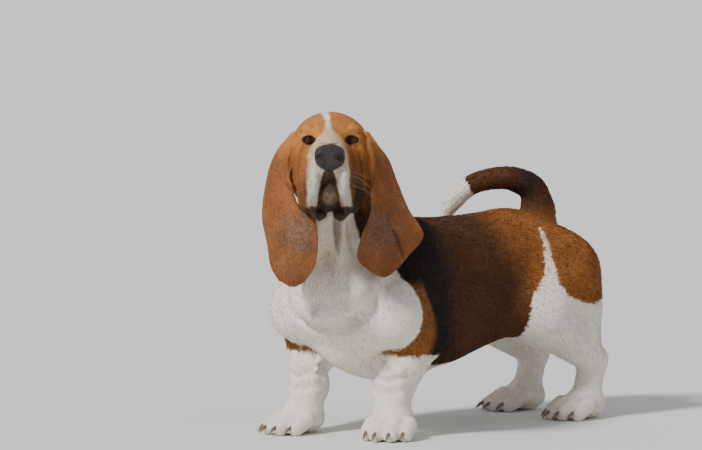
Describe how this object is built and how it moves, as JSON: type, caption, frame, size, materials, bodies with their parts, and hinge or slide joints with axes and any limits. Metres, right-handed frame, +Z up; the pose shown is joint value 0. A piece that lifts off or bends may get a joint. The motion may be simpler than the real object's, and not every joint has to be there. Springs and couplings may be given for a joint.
{
  "type": "basset hound",
  "caption": "Life-size standing basset hound with long hanging ears, loose dewlap, low heavy body and raised tail, made as a still museum model.",
  "frame": {"origin": "centre of the bounding box at floor level", "axes": "+Z up; the rump is at +Y, the chest at -Y and the dog's left side at +X; the forequarters bend and the head turns towards +X"},
  "size_m": [0.4472, 0.7458, 0.5491],
  "materials": {
    "coat_tan": "short smooth coat, red tan with a dark saddle",
    "coat_white": "short smooth coat, white",
    "coat_brown": "short smooth coat, dark brown",
    "nose": "moist black skin with a fine pebble",
    "eye": "clear glossy brown eye",
    "claw": "horn, satin"
  },
  "bodies": {
    "root": {"claw_front_left_1": "claw", "claw_front_left_2": "claw", "claw_front_left_3": "claw", "claw_front_left_4": "claw", "claw_front_right_1": "claw", "claw_front_right_2": "claw", "claw_front_right_3": "claw", "claw_front_right_4": "claw", "claw_hind_left_1": "claw", "claw_hind_left_2": "claw", "claw_hind_left_3": "claw", "claw_hind_left_4": "claw", "claw_hind_right_1": "claw", "claw_hind_right_2": "claw", "claw_hind_right_3": "claw", "claw_hind_right_4": "claw", "ear_left": "coat_tan", "ear_right": "coat_tan", "eye_left": "eye", "eye_right": "eye", "foreleg_left": "coat_white", "foreleg_right": "coat_white", "head": "coat_tan", "hindleg_left": "coat_white", "hindleg_right": "coat_white", "lower_jaw": "coat_white", "neck": "coat_white", "nose": "nose", "paw_front_left": "coat_white", "paw_front_right": "coat_white", "paw_hind_left": "coat_white", "paw_hind_right": "coat_white", "tail_base": "coat_brown", "tail_end": "coat_white", "torso": "coat_tan"}
  },
  "joints": []
}
